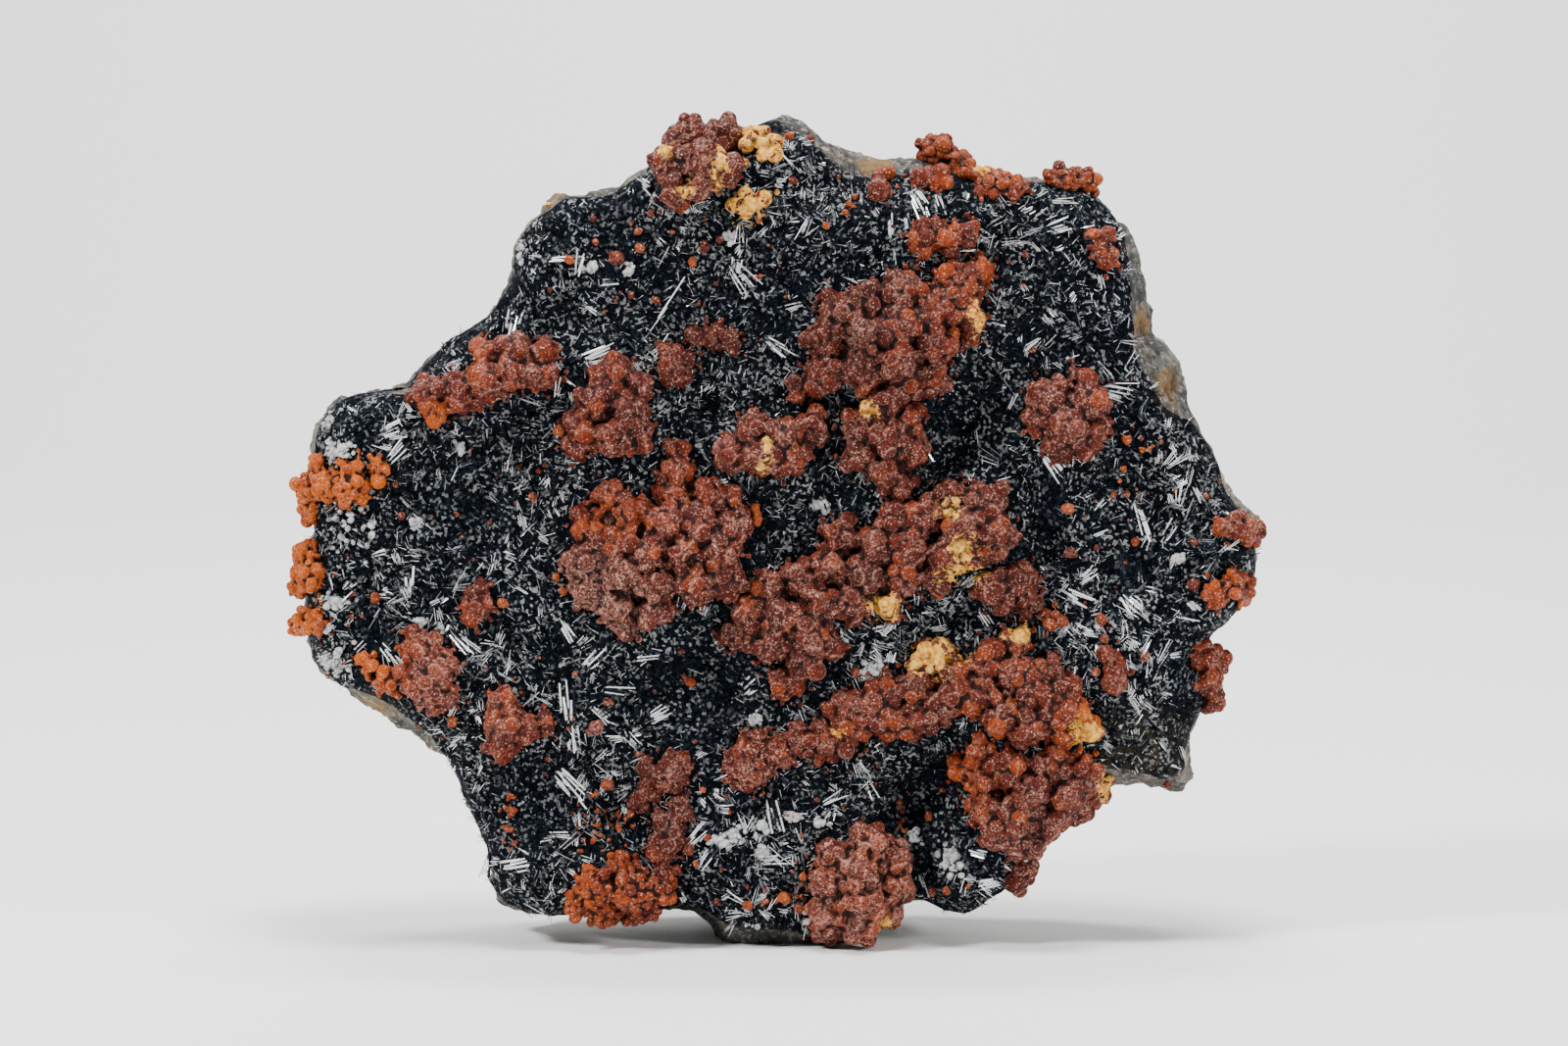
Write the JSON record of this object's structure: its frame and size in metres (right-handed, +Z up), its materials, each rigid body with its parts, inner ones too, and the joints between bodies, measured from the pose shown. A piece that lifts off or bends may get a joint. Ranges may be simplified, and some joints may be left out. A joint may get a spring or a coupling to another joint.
{
  "type": "mineral specimen",
  "caption": "Upright plate of rock with a crust of fine metallic needles and rounded orpiment clusters on its front, standing on its flat lower edge",
  "frame": {"origin": "centre of the bounding box in X and Y, on the surface that the flat foot stands on", "axes": "X runs across the crusted face to the right, Y runs from the crusted face to the broken back, Z is up"},
  "size_m": [0.1514, 0.0496, 0.1282],
  "materials": {
    "matrix_rock": "rough broken grey to beige rock, matt",
    "hutchinsonite": "near-black needles with metallic glints",
    "orpiment_red": "terracotta red-brown with frosted rims, finely crystalline",
    "orpiment_orange": "bright orange, finely crystalline",
    "orpiment_yellow": "powdery ochre yellow, matt"
  },
  "bodies": {
    "root": {"matrix": "matrix_rock", "hutchinsonite_crust": "hutchinsonite", "orpiment_top_left": "orpiment_red", "yellow_crust_top": "orpiment_yellow", "yellow_clump_upper": "orpiment_yellow", "orpiment_top_chain": "orpiment_red", "orpiment_top_corner": "orpiment_red", "orpiment_top_patch": "orpiment_red", "orpiment_top_nodules": "orpiment_red", "orpiment_upper_bar": "orpiment_red", "orpiment_upper_centre": "orpiment_red", "orpiment_middle_column": "orpiment_red", "orpiment_right_middle": "orpiment_red", "orpiment_left_band": "orpiment_red", "orpiment_fan": "orpiment_red", "orpiment_fan_side": "orpiment_red", "orpiment_small_brown": "orpiment_red", "orpiment_centre_left": "orpiment_red", "orpiment_centre": "orpiment_red", "orpiment_diagonal": "orpiment_red", "orpiment_right_offshoot": "orpiment_red", "orpiment_lower_arc": "orpiment_red", "orpiment_corner_mass": "orpiment_red", "orpiment_right_foot": "orpiment_red", "orpiment_bottom": "orpiment_red", "orpiment_bottom_left": "orpiment_orange", "orpiment_bottom_column": "orpiment_red", "orpiment_lower_centre": "orpiment_red", "orpiment_double_nodule": "orpiment_red", "orpiment_small_nodules": "orpiment_red", "orpiment_left_lower": "orpiment_red", "orpiment_left_oval": "orpiment_red", "orpiment_left_small": "orpiment_red", "orpiment_left_edge_upper": "orpiment_orange", "orpiment_left_pair": "orpiment_orange", "orpiment_left_edge_lower": "orpiment_orange", "yellow_crust_left_edge": "orpiment_yellow", "orpiment_left_clump": "orpiment_orange", "orpiment_left_nodule": "orpiment_orange", "orpiment_right_edge_upper": "orpiment_red", "orpiment_right_edge_middle": "orpiment_red", "orpiment_right_edge_lower": "orpiment_red", "orpiment_upper_right_group": "orpiment_red", "orpiment_right_string": "orpiment_red", "orpiment_right_oval": "orpiment_orange"}
  },
  "joints": []
}
